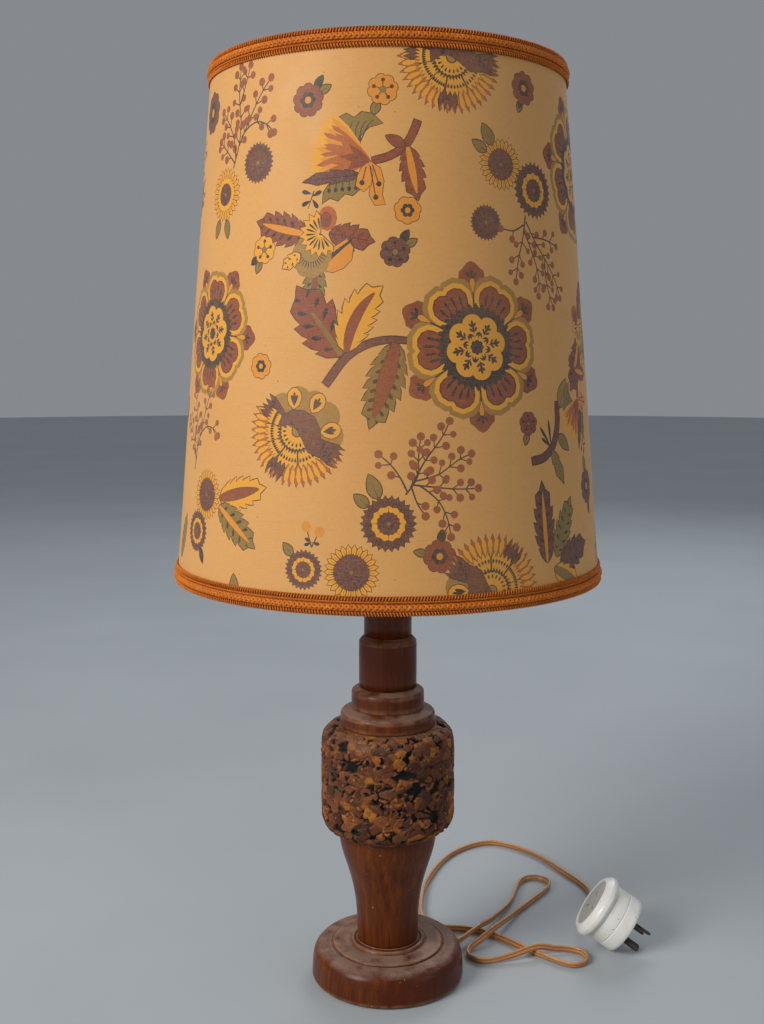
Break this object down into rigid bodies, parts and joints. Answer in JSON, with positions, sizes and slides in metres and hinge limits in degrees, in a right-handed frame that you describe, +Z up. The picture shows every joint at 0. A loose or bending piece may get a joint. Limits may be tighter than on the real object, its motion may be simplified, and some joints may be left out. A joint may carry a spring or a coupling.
{
  "type": "table lamp with shade",
  "caption": "Table lamp on a turned wooden stand with a cork barrel, a tapered printed drum shade trimmed with braid, a bayonet lampholder and bulb, and a twin flex with a flat-pin plug.",
  "frame": {"origin": "the middle of the base's underside, on the table", "axes": "+Z up the stand; +X to the right of the picture and -Y towards the viewer; the cord lies to the +X side"},
  "size_m": [0.3727, 0.4086, 0.6837],
  "materials": {
    "wood": "dark red-brown lacquer over turned wood, worn on edges",
    "cork": "coarse expanded cork, matt",
    "felt": "dark green felt",
    "bush": "black rubber",
    "steel": "zinc-plated steel",
    "brass": "aged brass",
    "bakelite": "dark brown moulded bakelite",
    "flex": "translucent amber PVC twin flex",
    "plug_plastic": "off-white moulded plastic, slightly yellowed",
    "pin_metal": "tarnished flat pins",
    "glass": "pearl glass",
    "shade_fabric": "printed cotton laminated on stiff sheet, satin",
    "braid": "burnt-orange viscose gimp",
    "frame_wire": "off-white coated steel wire"
  },
  "bodies": {
    "stand": {"felt_pad": "felt", "base_disc": "wood", "cord_bush": "bush", "lower_column": "wood", "cork_barrel": "cork", "lower_collar": "wood", "upper_collar": "wood", "upper_column": "wood", "neck": "wood", "threaded_tube": "steel", "bottom_washer": "steel", "bottom_nut": "steel", "top_washer": "brass", "inner_flex": "flex", "holder_cap": "brass", "holder_insert": "bakelite", "holder_skirt": "brass", "terminal_screw_1": "brass", "terminal_screw_2": "brass", "plunger_spring_1": "steel", "plunger_spring_2": "steel", "cord": "flex", "plug_flange": "plug_plastic", "plug_body": "plug_plastic", "plug_pin_active": "pin_metal", "plug_pin_neutral": "pin_metal", "plug_pin_earth": "pin_metal", "plug_screw_1": "brass", "plug_screw_2": "brass"},
    "switch": {"switch_bar": "bakelite"},
    "ring": {"shade_ring": "bakelite"},
    "contacts": {"contact_plunger_1": "brass", "contact_plunger_2": "brass"},
    "bulb": {"bulb_glass": "glass", "bulb_cap": "brass", "bulb_insulator": "bakelite", "bulb_contact_1": "steel", "bulb_contact_2": "steel", "filament_mount": "glass"},
    "shade": {"shade_skin": "shade_fabric", "braid_bottom": "braid", "braid_top": "braid", "shade_wire_bottom": "frame_wire", "shade_wire_top": "frame_wire", "fitter_ring": "frame_wire", "fitter_arm_1": "frame_wire", "fitter_arm_2": "frame_wire", "fitter_arm_3": "frame_wire"}
  },
  "joints": [
    {"name": "switch_push", "type": "slide", "parent": "stand", "child": "switch", "axis": [1, 0, 0], "range_m": [0, 0.005]},
    {"name": "ring_turn", "type": "hinge", "parent": "stand", "child": "ring", "pos_m": [0, 0, 0.385], "axis": [0, 0, 1], "range_deg": [0, 90]},
    {"name": "shade_turn", "type": "hinge", "parent": "stand", "child": "shade", "pos_m": [0, 0, 0.381], "axis": [0, 0, 1], "continuous": true},
    {"name": "bulb_push", "type": "slide", "parent": "stand", "child": "contacts", "axis": [0, 0, -1], "range_m": [0, 0.002], "stiffness_N_per_m": 1500, "springref_m": -0.002, "deforming": ["plunger_spring_1", "plunger_spring_2"]},
    {"name": "bulb_turn", "type": "hinge", "parent": "contacts", "child": "bulb", "pos_m": [0, 0, 0.404], "axis": [0, 0, 1], "range_deg": [0, 18]}
  ]
}
